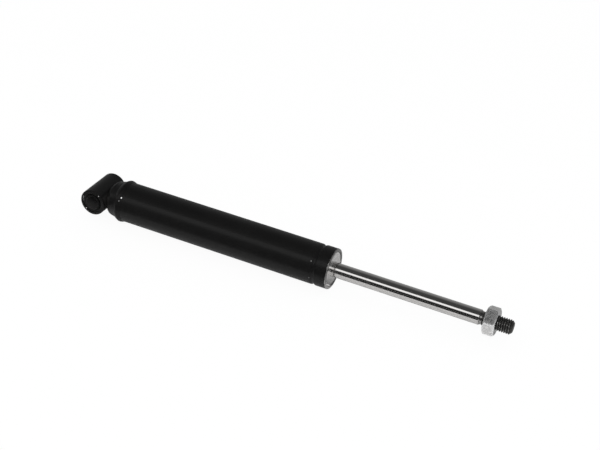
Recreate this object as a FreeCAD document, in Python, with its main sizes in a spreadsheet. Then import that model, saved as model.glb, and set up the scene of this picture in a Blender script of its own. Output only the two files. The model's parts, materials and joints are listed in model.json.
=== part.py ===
"""Twin-tube shock absorber with a cross eye at its base and a threaded stud on its rod.

The origin is the centre of the eye's bore. X runs along the damper towards the stud, Y along the
eye's bore and Z up. The rod is drawn fully out. All sizes are in millimetres.
"""
import FreeCAD, Part
import math
import os
import Sketcher

# Spring discs of each valve, from its seat outwards, and the sides of every nut
DISC_NAMES = ["large", "middle", "small"]
NUT_SIDES = 6

# Driving sizes: name, value
SIZES = [
    # Clearances
    ("slip_gap", 0.05),
    ("run_gap", 0.05),
    # Eye at the base
    ("sleeve_bore", 10.2),
    ("sleeve_wall", 1.0),
    ("sleeve_length", 30.0),
    ("sleeve_chamfer", 0.4),
    ("bush_wall", 1.35),
    ("bush_setback", 0.55),
    ("bush_chamfer", 0.5),
    ("eye_wall", 1.85),
    ("eye_length", 29.2),
    ("eye_round", 0.65),
    # Base and its welds
    ("saddle_depth", 1.0),
    ("neck_od", 25.0),
    ("neck_round", 4.2),
    ("cone_length", 5.6),
    ("base_web", 3.7),
    ("base_bore", 17.7),
    ("base_spigot", 5.1),
    ("foot_ledge", 3.3),
    ("bead_height", 0.95),
    ("bead_peak", 0.55),
    ("bead_crest", 0.6),
    ("bead_back", 2.35),
    ("bead_front", 3.25),
    ("bead_back_round", 11.2),
    ("bead_front_round", 11.2),
    ("eye_weld_reach", 0.75),
    ("eye_weld_rise", 2.25),
    ("eye_weld_leg", 3.45),
    ("eye_weld_round", 7.5),
    # Outer tube, with its rolled groove and lip
    ("tube_od", 28.0),
    ("tube_wall", 1.4),
    ("tube_length", 159.5),
    ("lip_reach", 0.55),
    ("lip_wall", 0.95),
    ("lip_round", 0.5),
    ("crimp_setback", 10.1),
    ("crimp_round", 1.4),
    ("crimp_depth", 0.75),
    ("crimp_shoulder", 1.85),
    # Inner tube
    ("pressure_bore", 18.7),
    ("pressure_wall", 1.4),
    # Rod guide, bush, seal and cover
    ("cover_flange", 1.9),
    ("cover_boss", 0.65),
    ("cover_gap", 0.12),
    ("cover_bore", 10.6),
    ("cover_chamfer", 0.3),
    ("guide_length", 16.8),
    ("guide_spigot", 3.3),
    ("guide_web", 3.7),
    ("guide_web_bore", 11.2),
    ("guide_bush_od", 12.0),
    ("guide_bush_length", 9.3),
    ("ring_section", 1.5),
    ("ring_setback", 2.8),
    ("ring_groove_width", 2.0),
    ("seal_od", 19.0),
    ("seal_depth", 6.1),
    ("seal_pocket", 3.0),
    ("seal_relief", 0.7),
    ("seal_lip_wall", 1.5),
    ("seal_lip_start", 0.4),
    ("seal_lip_edge", 1.0),
    ("seal_lip_width", 0.6),
    ("seal_lip_blend", 2.6),
    ("dust_lip_width", 0.8),
    ("garter_section", 1.0),
    ("garter_room", 0.25),
    # Rod and stud
    ("rod_od", 10.0),
    ("rod_reach", 102.1),
    ("rod_chamfer", 0.6),
    ("relief_length", 1.3),
    ("relief_depth", 0.4),
    ("stud_od", 9.85),
    ("stud_pitch_od", 9.03),
    ("stud_length", 21.3),
    ("stud_chamfer", 1.5),
    ("pilot_od", 7.0),
    ("pilot_chamfer", 0.6),
    ("rod_tail", 0.9),
    # Rebound stop
    ("bumper_gap", 0.3),
    ("bumper_length", 5.6),
    ("bumper_od", 15.0),
    ("bumper_chamfer", 1.1),
    ("stop_thickness", 1.9),
    ("stop_od", 14.0),
    ("stop_groove_depth", 0.6),
    ("stop_setback", 1.6),
    # Valves of the piston and the foot
    ("check_thickness", 0.6),
    ("check_space", 1.7),
    ("check_gap", 0.95),
    ("check_stop_thickness", 1.4),
    ("check_stop_od", 14.0),
    ("hub_od", 9.2),
    ("port_land", 0.4),
    ("port_wall", 0.4),
    ("inner_holes", 6),
    ("outer_holes", 8),
    ("port_od", 1.3),
    ("port_recess_width", 1.45),
    ("port_recess_depth", 0.95),
    ("spring_thickness", 0.25),
    ("spring_rim", 0.95),
    ("spring_od", 15.7),
    ("spring_slot", 1.5),
    ("spring_fingers", 6),
    ("disc_thickness", 0.3),
    ("disc_lap", 0.2),
    ("disc_step", 0.9),
    # Piston
    ("piston_length", 9.3),
    ("piston_gap", 0.3),
    ("band_length", 6.3),
    ("band_setback", 1.5),
    ("band_thickness", 0.75),
    ("band_split", 0.6),
    ("backing_thickness", 1.4),
    ("backing_od", 10.0),
    ("piston_nut_width", 11.0),
    ("piston_nut_height", 5.5),
    ("piston_nut_turn", 0.0),
    # Foot valve
    ("foot_flange", 4.7),
    ("foot_spigot", 2.8),
    ("foot_notches", 4),
    ("foot_notch_od", 4.9),
    ("foot_notch_turn", 22.5),
    ("foot_bolt_od", 5.0),
    ("foot_head_od", 13.0),
    ("foot_head_height", 1.5),
    ("foot_head_chamfer", 0.5),
    ("foot_nut_width", 8.0),
    ("foot_nut_height", 4.0),
    ("foot_nut_turn", 0.0),
    ("foot_bolt_tail", 0.6),
    # Nut on the stud
    ("nut_width", 17.0),
    ("nut_height", 8.0),
    ("nut_setback", 3.0),
    ("nut_turn", 40.6),
    # Chamfers of every nut, as on a standard one
    ("nut_face_share", 0.475),
    ("nut_chamfer_angle", 30.0),
    ("nut_mouth", 0.7),
]

# Places along X, worked out from the sizes, and radii that several pieces share
PLACES = [
    ("sleeve_inside", "Dims.sleeve_bore / 2"),
    ("sleeve_radius", "Places.sleeve_inside + Dims.sleeve_wall"),
    ("bush_inside", "Places.sleeve_radius + Dims.run_gap"),
    ("bush_outside", "Places.bush_inside + Dims.bush_wall"),
    ("eye_inside", "Places.bush_outside + Dims.slip_gap"),
    ("eye_radius", "Places.eye_inside + Dims.eye_wall"),
    ("saddle_radius", "Places.eye_radius + Dims.slip_gap"),
    ("sleeve_half", "Dims.sleeve_length / 2"),
    ("eye_half", "Dims.eye_length / 2"),
    ("bush_half", "Places.eye_half - Dims.bush_setback"),
    ("base_floor", "Places.eye_radius - Dims.saddle_depth"),
    ("cavity_floor", "Places.base_floor + Dims.base_web"),
    ("cone_start", "Places.base_floor + Dims.neck_round"),
    ("seam", "Places.cone_start + Dims.cone_length"),
    ("base_rim", "Places.seam + Dims.base_spigot"),
    ("bead_start", "Places.seam - Dims.bead_back"),
    ("foot_seat", "Places.seam + Dims.foot_ledge"),
    ("pressure_start", "Places.foot_seat + Dims.foot_flange"),
    ("foot_top", "Places.pressure_start + Dims.foot_spigot"),
    ("foot_hub_top", "Places.foot_top + Dims.check_thickness + Dims.check_space"),
    ("foot_discs_end", f"Places.foot_seat - {len(DISC_NAMES)} * Dims.disc_thickness"),
    ("foot_nut_end", "Places.foot_discs_end - Dims.foot_nut_height"),
    ("foot_bolt_end", "Places.foot_nut_end - Dims.foot_bolt_tail"),
    ("end_face", "Places.seam + Dims.tube_length"),
    ("cover_rim", "Places.end_face - Dims.lip_wall"),
    ("guide_top", "Places.cover_rim - Dims.cover_flange"),
    ("crimp", "Places.end_face - Dims.crimp_setback"),
    ("seal_seat", "Places.guide_top - Dims.seal_depth"),
    ("bush_stop", "Places.seal_seat - Dims.guide_web"),
    ("ring_centre", "Places.guide_top - Dims.ring_setback"),
    ("pressure_end", "Places.guide_top - Dims.guide_length"),
    ("guide_foot", "Places.pressure_end - Dims.guide_spigot"),
    ("bumper_top", "Places.guide_foot - Dims.bumper_gap"),
    ("bumper_foot", "Places.bumper_top - Dims.bumper_length"),
    ("stop_foot", "Places.bumper_foot - Dims.stop_thickness"),
    ("rod_shoulder", "Places.stop_foot - Dims.stop_setback"),
    ("hub_top", "Places.rod_shoulder - Dims.check_stop_thickness"),
    ("piston_top", "Places.hub_top - Dims.check_space - Dims.check_thickness"),
    ("piston_foot", "Places.piston_top - Dims.piston_length"),
    ("band_top", "Places.piston_top - Dims.band_setback"),
    ("band_foot", "Places.band_top - Dims.band_length"),
    ("discs_foot", f"Places.piston_foot - {len(DISC_NAMES)} * Dims.disc_thickness"),
    ("backing_foot", "Places.discs_foot - Dims.backing_thickness"),
    ("piston_nut_foot", "Places.backing_foot - Dims.piston_nut_height"),
    ("rod_foot", "Places.piston_nut_foot - Dims.rod_tail"),
    ("rod_top", "Places.end_face + Dims.rod_reach"),
    ("stud_tip", "Places.rod_top + Dims.stud_length"),
    ("nut_foot", "Places.rod_top + Dims.nut_setback"),
    ("nut_head", "Places.nut_foot + Dims.nut_height"),
    ("tube_radius", "Dims.tube_od / 2"),
    ("tube_inside", "Dims.tube_od / 2 - Dims.tube_wall"),
    ("plug_radius", "Places.tube_inside - Dims.slip_gap"),
    ("lip_radius", "Places.tube_inside - Dims.lip_reach"),
    ("pressure_inside", "Dims.pressure_bore / 2"),
    ("pressure_radius", "Dims.pressure_bore / 2 + Dims.pressure_wall"),
    ("spigot_radius", "Places.pressure_inside - Dims.slip_gap"),
    ("neck_radius", "Dims.neck_od / 2"),
    ("rod_radius", "Dims.rod_od / 2"),
    ("stud_radius", "Dims.stud_od / 2"),
    ("stud_pitch_radius", "Dims.stud_pitch_od / 2"),
    ("pilot_radius", "Dims.pilot_od / 2"),
    ("pilot_hole", "Places.pilot_radius + Dims.slip_gap"),
    ("foot_bolt_radius", "Dims.foot_bolt_od / 2"),
    ("foot_bolt_hole", "Places.foot_bolt_radius + Dims.slip_gap"),
    ("hub_radius", "Dims.hub_od / 2"),
    ("running_bore", "Places.rod_radius + Dims.run_gap"),
    ("stop_groove_radius", "Places.rod_radius - Dims.stop_groove_depth"),
    ("band_outside", "Places.pressure_inside - Dims.run_gap"),
    ("band_inside", "Places.band_outside - Dims.band_thickness"),
    ("band_groove_floor", "Places.band_inside - Dims.run_gap"),
    ("piston_radius", "Places.pressure_inside - Dims.piston_gap"),
    ("check_radius", "Places.pressure_inside - Dims.check_gap"),
    ("port_recess_inside", "Places.hub_radius + Dims.port_land"),
    ("port_recess_outside", "Places.port_recess_inside + Dims.port_recess_width"),
    ("inner_ring_radius", "Places.port_recess_inside + Dims.port_recess_width / 2"),
    ("outer_ring_radius", "Places.band_groove_floor - Dims.port_wall - Dims.port_od / 2"),
    ("disc_radius", "Places.port_recess_outside + Dims.disc_lap"),
    ("crimp_centre_radius", "Places.tube_radius - Dims.crimp_depth + Dims.crimp_round"),
    ("crimp_rounds", "Dims.crimp_round + Dims.crimp_shoulder"),
    ("crimp_rise", "Places.crimp_rounds - Dims.crimp_depth"),
    ("crimp_half", "sqrt(Places.crimp_rounds ^ 2 - Places.crimp_rise ^ 2)"),
    ("crimp_blend_half", "Places.crimp_half * Dims.crimp_round / Places.crimp_rounds"),
    ("crimp_blend_radius",
     "Places.crimp_centre_radius - Places.crimp_rise * Dims.crimp_round / Places.crimp_rounds"),
    ("crimp_inner_round", "Dims.crimp_round + Dims.tube_wall"),
    ("crimp_inner_half",
     "sqrt(Places.crimp_inner_round ^ 2 - (Places.crimp_centre_radius - Places.tube_inside) ^ 2)"),
    ("guide_groove_round", "Places.crimp_inner_round + Dims.slip_gap"),
    ("guide_groove_half",
     "sqrt(Places.guide_groove_round ^ 2 - (Places.crimp_centre_radius - Places.plug_radius) ^ 2)"),
    ("ring_centre_radius", "Places.plug_radius - Dims.ring_section / 2"),
    ("ring_floor", "Places.plug_radius - Dims.ring_section - Dims.slip_gap"),
    ("seal_lip_outside", "Places.running_bore + Dims.seal_lip_wall"),
    ("garter_radius", "Places.seal_lip_outside + Dims.garter_section / 2 + Dims.slip_gap"),
    ("pocket_radius", "Places.garter_radius + Dims.garter_section / 2 + Dims.garter_room"),
    ("eye_weld_radius", "Places.neck_radius - Dims.neck_round + Dims.eye_weld_reach"),
]

doc = FreeCAD.newDocument("ShockAbsorber")


def make_sheet(name, rows):
    """One sheet, with a named cell for each row."""
    sheet = doc.addObject("Spreadsheet::Sheet", name)
    for number, (alias, content) in enumerate(rows, start=1):
        cell = f"B{number}"
        sheet.set(f"A{number}", alias)
        sheet.setAlias(cell, alias)
        sheet.set(cell, content)
    doc.recompute()
    return sheet


dims = make_sheet("Dims", [(alias, str(number)) for alias, number in SIZES])
places = make_sheet("Places", [(alias, "=" + formula) for alias, formula in PLACES])


def value(expression):
    """The number that an expression on the sheets gives now."""
    return float(dims.evalExpression(expression))


def origin_feature(body, role):
    """One of the body's own planes or axes."""
    return next(feature for feature in body.Origin.OriginFeatures if feature.Role == role)


def new_body(label):
    body = doc.addObject("PartDesign::Body", label)
    body.Label = label
    return body


def bind(sketch, kind, where, expression):
    """A sketch constraint that follows an expression."""
    index = sketch.addConstraint(Sketcher.Constraint(kind, *where, value(expression)))
    sketch.setExpression(f"Constraints[{index}]", expression)


def new_sketch(body, role, along="0"):
    """An empty sketch on one of the body's planes, moved along the plane's normal."""
    sketch = body.newObject("Sketcher::SketchObject", body.Label + "_sketch")
    sketch.AttachmentSupport = (origin_feature(body, role), [""])
    sketch.MapMode = "FlatFace"
    sketch.setExpression("AttachmentOffset.Base.z", along)
    return sketch


def arc_between(start, end, radius, side):
    """The short arc from start to end that bulges to the left (1) or the right (-1) of the way."""
    chord = end - start
    left = FreeCAD.Vector(-chord.y, chord.x, 0).normalize()
    depth = math.sqrt(radius ** 2 - (chord.Length / 2) ** 2)
    centre = (start + end) / 2 - left * (side * depth)
    first, last = (start, end) if side < 0 else (end, start)
    first_angle = math.atan2(first.y - centre.y, first.x - centre.x)
    last_angle = math.atan2(last.y - centre.y, last.x - centre.x)
    if last_angle < first_angle:
        last_angle += 2 * math.pi
    circle = Part.Circle(centre, FreeCAD.Vector(0, 0, 1), radius)
    return Part.ArcOfCircle(circle, first_angle, last_angle)


def add_loop(sketch, corners):
    """A closed loop. A corner is two expressions; with a radius and a side, it starts an arc."""
    points = [FreeCAD.Vector(value(corner[0]), value(corner[1]), 0) for corner in corners]
    starts = []
    ends = []
    for number, corner in enumerate(corners):
        here = points[number]
        there = points[(number + 1) % len(points)]
        if len(corner) == 2:
            edge = sketch.addGeometry(Part.LineSegment(here, there), False)
            forward = True
        else:
            edge = sketch.addGeometry(arc_between(here, there, value(corner[2]), corner[3]), False)
            forward = corner[3] < 0
        starts.append((edge, 1 if forward else 2))
        ends.append((edge, 2 if forward else 1))
    for number, corner in enumerate(corners):
        sketch.addConstraint(Sketcher.Constraint("Coincident", *ends[number - 1], *starts[number]))
        bind(sketch, "DistanceX", (-1, 1, *starts[number]), corner[0])
        bind(sketch, "DistanceY", (-1, 1, *starts[number]), corner[1])
        if len(corner) > 2:
            bind(sketch, "Radius", (starts[number][0],), corner[2])


def add_circle(sketch, across, up, radius):
    """A circle at a place in the sketch."""
    centre = FreeCAD.Vector(value(across), value(up), 0)
    circle = Part.Circle(centre, FreeCAD.Vector(0, 0, 1), value(radius))
    edge = sketch.addGeometry(circle, False)
    bind(sketch, "DistanceX", (-1, 1, edge, 3), across)
    bind(sketch, "DistanceY", (-1, 1, edge, 3), up)
    bind(sketch, "Radius", (edge,), radius)


def turned(label, corners, axis="H_Axis"):
    """A body turned about X from (x, radius) corners, or about Y (V_Axis) from (radius, y) corners."""
    body = new_body(label)
    sketch = new_sketch(body, "XY_Plane")
    add_loop(sketch, corners)
    feature = body.newObject("PartDesign::Revolution", label + "_turned")
    feature.Profile = sketch
    feature.ReferenceAxis = (sketch, [axis])
    feature.Angle = 360
    return body


def washer(label, start, end, inside, outside):
    """A plain ring about X."""
    return turned(label, [(start, inside), (start, outside), (end, outside), (end, inside)])


def round_ring(label, centre, centre_radius, section):
    """A ring of round section about X."""
    body = new_body(label)
    sketch = new_sketch(body, "XY_Plane")
    add_circle(sketch, centre, centre_radius, f"{section} / 2")
    feature = body.newObject("PartDesign::Revolution", label + "_turned")
    feature.Profile = sketch
    feature.ReferenceAxis = (sketch, ["H_Axis"])
    feature.Angle = 360


def cut_through(body, sketch):
    """A cut with a sketch's outline, right through the body."""
    feature = body.newObject("PartDesign::Pocket", body.Label + "_cut")
    feature.Profile = sketch
    feature.Type = "ThroughAll"
    feature.SideType = "Symmetric"
    return feature


def repeat_about_x(body, feature, count):
    """Copies of a cut, evenly spaced about X."""
    pattern = body.newObject("PartDesign::PolarPattern", body.Label + "_pattern")
    pattern.Originals = [feature]
    pattern.Axis = (origin_feature(body, "X_Axis"), [""])
    pattern.Angle = 360
    pattern.setExpression("Occurrences", count)
    body.Tip = pattern


def ring_of_ports(body, ring_radius, count):
    """Round ports through a body, on a circle about X."""
    sketch = new_sketch(body, "YZ_Plane")
    add_circle(sketch, ring_radius, "0", "Dims.port_od / 2")
    repeat_about_x(body, cut_through(body, sketch), count)


def saddle_cut(body):
    """The round seat of the eye, cut across a body."""
    sketch = new_sketch(body, "XZ_Plane")
    add_circle(sketch, "0", "0", "Places.saddle_radius")
    cut_through(body, sketch)


def hex_nut(label, start, height, width, hole, turn):
    """A hexagon nut about X, with chamfered corners and mouths."""
    body = new_body(label)
    sketch = new_sketch(body, "YZ_Plane", start)
    corner = f"{width} / sqrt(3)"
    angles = [f"({turn} + {number} * 360 / {NUT_SIDES}) * 1deg" for number in range(NUT_SIDES)]
    add_loop(sketch, [(f"{corner} * cos({angle})", f"{corner} * sin({angle})") for angle in angles])
    add_circle(sketch, "0", "0", hole)
    prism = body.newObject("PartDesign::Pad", label + "_prism")
    prism.Profile = sketch
    prism.setExpression("Length", height)
    face = f"{width} * Dims.nut_face_share"
    beyond = f"({corner} + Dims.nut_mouth)"
    drop = f"({beyond} - {face}) * tan(Dims.nut_chamfer_angle * 1deg)"
    mouth = f"({hole} + Dims.nut_mouth)"
    end = f"({start} + {height})"
    trim = new_sketch(body, "XY_Plane")
    add_loop(trim, [(start, face), (start, beyond), (f"{start} + {drop}", beyond)])
    add_loop(trim, [(end, face), (f"{end} - {drop}", beyond), (end, beyond)])
    add_loop(trim, [(start, hole), (start, mouth), (f"{start} + Dims.nut_mouth", hole)])
    add_loop(trim, [(end, hole), (f"{end} - Dims.nut_mouth", hole), (end, mouth)])
    chamfer = body.newObject("PartDesign::Groove", label + "_chamfer")
    chamfer.Profile = trim
    chamfer.ReferenceAxis = (trim, ["H_Axis"])
    chamfer.Angle = 360


def check_plate(label, seat):
    """The ring-shaped plate of a check valve, with holes over the inner ports."""
    body = washer(label, seat, f"{seat} + Dims.check_thickness",
                  "Places.hub_radius + Dims.run_gap", "Places.check_radius")
    ring_of_ports(body, "Places.inner_ring_radius", "Dims.inner_holes")


def check_spring(label, plate_seat, hub_top):
    """A star spring: a flat rim under its stop and a cone of fingers down to the plate."""
    plate_top = f"{plate_seat} + Dims.check_thickness + Dims.run_gap"
    bore = "Places.hub_radius + Dims.slip_gap"
    bend = f"{bore} + Dims.spring_rim"
    tip = "Dims.spring_od / 2"
    body = turned(label, [
        (hub_top, bore),
        (f"{hub_top} - Dims.spring_thickness", bore),
        (f"{hub_top} - Dims.spring_thickness", bend),
        (plate_top, tip),
        (f"{plate_top} + Dims.spring_thickness", tip),
        (hub_top, bend),
    ])
    slot = new_sketch(body, "YZ_Plane")
    slot_end = f"{tip} + Dims.spring_slot"
    slot_start = f"{bend} + Dims.spring_rim / 2"
    half = "Dims.spring_slot / 2"
    add_loop(slot, [(slot_start, f"-{half}"), (slot_end, f"-{half}"), (slot_end, half), (slot_start, half)])
    repeat_about_x(body, cut_through(body, slot), "Dims.spring_fingers")


def disc_stack(family, seat, hole):
    """Spring discs, each smaller than the one before, from a seat towards the base."""
    for number, name in enumerate(DISC_NAMES):
        washer(f"{family}_{name}",
               f"{seat} - {number + 1} * Dims.disc_thickness",
               f"{seat} - {number} * Dims.disc_thickness",
               hole,
               f"Places.disc_radius - {number} * Dims.disc_step")


def valve_face(top, hub_top, hole, rim):
    """The upper outline of a valve body: hub, ring recess over the inner ports, and rim."""
    recess_floor = f"{top} - Dims.port_recess_depth"
    return [
        (hub_top, hole),
        (hub_top, "Places.hub_radius"),
        (top, "Places.hub_radius"),
        (top, "Places.port_recess_inside"),
        (recess_floor, "Places.port_recess_inside"),
        (recess_floor, "Places.port_recess_outside"),
        (top, "Places.port_recess_outside"),
        (top, rim),
    ]


# Eye
turned("eye_ring", [
    ("Places.eye_inside", "-Places.eye_half"),
    ("Places.eye_radius - Dims.eye_round", "-Places.eye_half", "Dims.eye_round", -1),
    ("Places.eye_radius", "-Places.eye_half + Dims.eye_round"),
    ("Places.eye_radius", "Places.eye_half - Dims.eye_round", "Dims.eye_round", -1),
    ("Places.eye_radius - Dims.eye_round", "Places.eye_half"),
    ("Places.eye_inside", "Places.eye_half"),
], axis="V_Axis")
turned("eye_bush", [
    ("Places.bush_inside", "-Places.bush_half"),
    ("Places.bush_outside - Dims.bush_chamfer", "-Places.bush_half"),
    ("Places.bush_outside", "-Places.bush_half + Dims.bush_chamfer"),
    ("Places.bush_outside", "Places.bush_half - Dims.bush_chamfer"),
    ("Places.bush_outside - Dims.bush_chamfer", "Places.bush_half"),
    ("Places.bush_inside", "Places.bush_half"),
], axis="V_Axis")
turned("eye_sleeve", [
    ("Places.sleeve_inside", "-Places.sleeve_half"),
    ("Places.sleeve_radius - Dims.sleeve_chamfer", "-Places.sleeve_half"),
    ("Places.sleeve_radius", "-Places.sleeve_half + Dims.sleeve_chamfer"),
    ("Places.sleeve_radius", "Places.sleeve_half - Dims.sleeve_chamfer"),
    ("Places.sleeve_radius - Dims.sleeve_chamfer", "Places.sleeve_half"),
    ("Places.sleeve_inside", "Places.sleeve_half"),
], axis="V_Axis")

# Base, with a saddle for the eye, and the two welds
base_cap = turned("base_cap", [
    ("Places.base_floor", "0"),
    ("Places.base_floor", "Places.neck_radius - Dims.neck_round", "Dims.neck_round", 1),
    ("Places.cone_start", "Places.neck_radius"),
    ("Places.seam", "Places.tube_radius"),
    ("Places.seam", "Places.plug_radius"),
    ("Places.base_rim", "Places.plug_radius"),
    ("Places.base_rim", "Places.pressure_radius + Dims.slip_gap"),
    ("Places.foot_seat", "Places.pressure_radius + Dims.slip_gap"),
    ("Places.foot_seat", "Dims.base_bore / 2"),
    ("Places.cavity_floor", "Dims.base_bore / 2"),
    ("Places.cavity_floor", "0"),
])
saddle_cut(base_cap)

eye_weld = turned("eye_weld", [
    ("Places.base_floor - Dims.eye_weld_leg", "0"),
    ("Places.base_floor - Dims.eye_weld_leg", "Places.eye_weld_radius - Dims.eye_weld_rise",
     "Dims.eye_weld_round", -1),
    ("Places.base_floor", "Places.eye_weld_radius"),
    ("Places.base_floor", "0"),
])
saddle_cut(eye_weld)

cone_at_bead = ("Places.tube_radius - (Places.tube_radius - Places.neck_radius)"
                " * Dims.bead_back / Dims.cone_length + Dims.slip_gap")
bead_top = "Places.tube_radius + Dims.bead_height"
turned("base_weld", [
    ("Places.bead_start", cone_at_bead, "Dims.bead_back_round", 1),
    ("Places.seam + Dims.bead_peak - Dims.bead_crest / 2", bead_top),
    ("Places.seam + Dims.bead_peak + Dims.bead_crest / 2", bead_top, "Dims.bead_front_round", 1),
    ("Places.seam + Dims.bead_front", "Places.tube_radius + Dims.slip_gap"),
    ("Places.seam", "Places.tube_radius + Dims.slip_gap"),
])

# Outer tube: its wall follows the rolled groove inside and out, and its end is rolled in as a lip
turned("reserve_tube", [
    ("Places.seam", "Places.tube_inside"),
    ("Places.seam", "Places.tube_radius"),
    ("Places.crimp - Places.crimp_half", "Places.tube_radius", "Dims.crimp_shoulder", 1),
    ("Places.crimp - Places.crimp_blend_half", "Places.crimp_blend_radius", "Dims.crimp_round", -1),
    ("Places.crimp + Places.crimp_blend_half", "Places.crimp_blend_radius", "Dims.crimp_shoulder", 1),
    ("Places.crimp + Places.crimp_half", "Places.tube_radius"),
    ("Places.end_face - Dims.lip_round", "Places.tube_radius", "Dims.lip_round", 1),
    ("Places.end_face", "Places.tube_radius - Dims.lip_round"),
    ("Places.end_face", "Places.lip_radius"),
    ("Places.cover_rim", "Places.lip_radius"),
    ("Places.cover_rim", "Places.tube_inside"),
    ("Places.crimp + Places.crimp_inner_half", "Places.tube_inside", "Places.crimp_inner_round", 1),
    ("Places.crimp - Places.crimp_inner_half", "Places.tube_inside"),
])
washer("pressure_tube", "Places.pressure_start", "Places.pressure_end",
       "Places.pressure_inside", "Places.pressure_radius")

# Rod guide, locked by the tube's groove, with its bush, ring, seal and cover
turned("rod_guide", [
    ("Places.guide_foot", "Dims.guide_bush_od / 2"),
    ("Places.guide_foot", "Places.spigot_radius"),
    ("Places.pressure_end", "Places.spigot_radius"),
    ("Places.pressure_end", "Places.plug_radius"),
    ("Places.crimp - Places.guide_groove_half", "Places.plug_radius", "Places.guide_groove_round", -1),
    ("Places.crimp + Places.guide_groove_half", "Places.plug_radius"),
    ("Places.ring_centre - Dims.ring_groove_width / 2", "Places.plug_radius"),
    ("Places.ring_centre - Dims.ring_groove_width / 2", "Places.ring_floor"),
    ("Places.ring_centre + Dims.ring_groove_width / 2", "Places.ring_floor"),
    ("Places.ring_centre + Dims.ring_groove_width / 2", "Places.plug_radius"),
    ("Places.guide_top", "Places.plug_radius"),
    ("Places.guide_top", "Dims.seal_od / 2"),
    ("Places.seal_seat", "Dims.seal_od / 2"),
    ("Places.seal_seat", "Dims.guide_web_bore / 2"),
    ("Places.bush_stop", "Dims.guide_web_bore / 2"),
    ("Places.bush_stop", "Dims.guide_bush_od / 2"),
])
washer("guide_bush", "Places.bush_stop - Dims.guide_bush_length", "Places.bush_stop",
       "Places.running_bore", "Dims.guide_bush_od / 2 - Dims.slip_gap")
round_ring("guide_o_ring", "Places.ring_centre", "Places.ring_centre_radius", "Dims.ring_section")
round_ring("seal_spring", "Places.seal_seat + Dims.seal_lip_edge + Dims.seal_lip_width / 2",
           "Places.garter_radius", "Dims.garter_section")

# Seal: an outer wall, a pocket for the spring, the oil lip and the dust lip under the cover
seal_outside = "Dims.seal_od / 2 - Dims.slip_gap"
seal_relief_radius = "Places.running_bore + Dims.seal_relief"
turned("rod_seal", [
    ("Places.seal_seat", "Places.pocket_radius"),
    ("Places.seal_seat", seal_outside),
    ("Places.guide_top", seal_outside),
    ("Places.guide_top", "Places.running_bore"),
    ("Places.guide_top - Dims.dust_lip_width", "Places.running_bore"),
    ("Places.guide_top - 2 * Dims.dust_lip_width", seal_relief_radius),
    ("Places.seal_seat + Dims.seal_lip_edge + Dims.seal_lip_width + Dims.seal_lip_blend",
     seal_relief_radius),
    ("Places.seal_seat + Dims.seal_lip_edge + Dims.seal_lip_width", "Places.running_bore"),
    ("Places.seal_seat + Dims.seal_lip_edge", "Places.running_bore"),
    ("Places.seal_seat + Dims.seal_lip_start", seal_relief_radius),
    ("Places.seal_seat + Dims.seal_lip_start", "Places.seal_lip_outside"),
    ("Places.seal_seat + Dims.seal_pocket", "Places.seal_lip_outside"),
    ("Places.seal_seat + Dims.seal_pocket", "Places.pocket_radius"),
])

boss_radius = "Places.lip_radius - Dims.cover_gap"
boss_face = "Places.cover_rim + Dims.cover_boss"
turned("end_cover", [
    ("Places.guide_top", "Dims.cover_bore / 2"),
    ("Places.guide_top", "Places.plug_radius"),
    ("Places.cover_rim", "Places.plug_radius"),
    ("Places.cover_rim", boss_radius),
    (f"{boss_face} - Dims.cover_chamfer", boss_radius),
    (boss_face, f"{boss_radius} - Dims.cover_chamfer"),
    (boss_face, "Dims.cover_bore / 2 + Dims.cover_chamfer"),
    (f"{boss_face} - Dims.cover_chamfer", "Dims.cover_bore / 2"),
])

# Rod with its stud, and the nut on the stud. Inside the nut the plain stud is drawn at the pitch
# diameter, where the two threads meet, so that the nut is held as the real thread holds it.
relief_radius = "Places.stud_radius - Dims.relief_depth"
turned("piston_rod", [
    ("Places.rod_foot", "0"),
    ("Places.rod_foot", "Places.pilot_radius - Dims.pilot_chamfer"),
    ("Places.rod_foot + Dims.pilot_chamfer", "Places.pilot_radius"),
    ("Places.rod_shoulder", "Places.pilot_radius"),
    ("Places.rod_shoulder", "Places.rod_radius"),
    ("Places.stop_foot", "Places.rod_radius"),
    ("Places.stop_foot", "Places.stop_groove_radius"),
    ("Places.bumper_foot", "Places.stop_groove_radius"),
    ("Places.bumper_foot", "Places.rod_radius"),
    ("Places.rod_top - Dims.rod_chamfer", "Places.rod_radius"),
    ("Places.rod_top", relief_radius),
    ("Places.rod_top + Dims.relief_length", relief_radius),
    ("Places.rod_top + Dims.relief_length + Dims.relief_depth", "Places.stud_radius"),
    ("Places.nut_foot", "Places.stud_radius"),
    ("Places.nut_foot", "Places.stud_pitch_radius"),
    ("Places.nut_head", "Places.stud_pitch_radius"),
    ("Places.nut_head", "Places.stud_radius"),
    ("Places.stud_tip - Dims.stud_chamfer", "Places.stud_radius"),
    ("Places.stud_tip", "Places.stud_radius - Dims.stud_chamfer"),
    ("Places.stud_tip", "0"),
])
hex_nut("stud_nut", "Places.nut_foot", "Dims.nut_height", "Dims.nut_width",
        "(Places.stud_pitch_radius + Dims.slip_gap)", "Dims.nut_turn")

# Rebound stop on the rod
washer("stop_ring", "Places.stop_foot", "Places.bumper_foot",
       "Places.stop_groove_radius + Dims.slip_gap", "Dims.stop_od / 2")
turned("rebound_bumper", [
    ("Places.bumper_foot", "Places.rod_radius + Dims.slip_gap"),
    ("Places.bumper_foot", "Dims.bumper_od / 2"),
    ("Places.bumper_top - Dims.bumper_chamfer", "Dims.bumper_od / 2"),
    ("Places.bumper_top", "Dims.bumper_od / 2 - Dims.bumper_chamfer"),
    ("Places.bumper_top", "Places.rod_radius + Dims.slip_gap"),
])

# Piston, its band and its valves
washer("check_stop_washer", "Places.hub_top", "Places.rod_shoulder",
       "Places.pilot_hole", "Dims.check_stop_od / 2")
check_spring("piston_check_spring", "Places.piston_top", "Places.hub_top")
check_plate("piston_check_plate", "Places.piston_top")

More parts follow.
